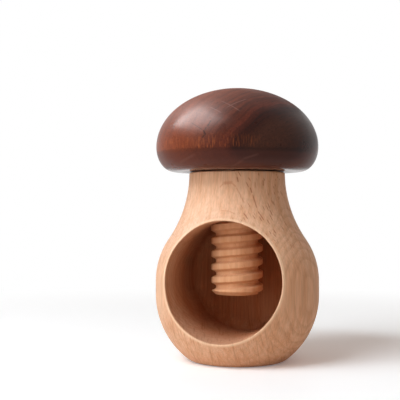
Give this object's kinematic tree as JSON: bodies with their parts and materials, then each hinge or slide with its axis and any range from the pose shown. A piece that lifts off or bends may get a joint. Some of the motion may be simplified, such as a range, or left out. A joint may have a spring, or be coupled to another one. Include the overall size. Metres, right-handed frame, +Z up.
{
  "type": "screw nutcracker",
  "caption": "Mushroom-shaped wooden nutcracker: turning the domed cap drives a coarse wooden screw down through the neck onto a nut in the round chamber.",
  "frame": {"origin": "centre of the flat foot, on the surface that it stands on", "axes": "+Z up along the axis of the screw, the mouth of the nut chamber faces -Y"},
  "size_m": [0.08, 0.0798, 0.1333],
  "materials": {
    "beech": "satin",
    "walnut": "satin"
  },
  "bodies": {
    "body": {"body": "beech"},
    "dowel": {"dowel": "beech"},
    "head": {"cap": "walnut", "screw": "beech"}
  },
  "joints": [
    {"name": "head_lift", "type": "slide", "parent": "body", "child": "dowel", "axis": [0, 0, 1], "range_m": [0, 0.0512]},
    {"name": "head_turn", "type": "hinge", "parent": "dowel", "child": "head", "pos_m": [0, 0, 0.0924], "axis": [0, 0, 1], "range_deg": [0, 2880]}
  ],
  "couplings": [
    {"joint": "head_lift", "follows": "head_turn", "m_per_rad": 0.0010186}
  ]
}
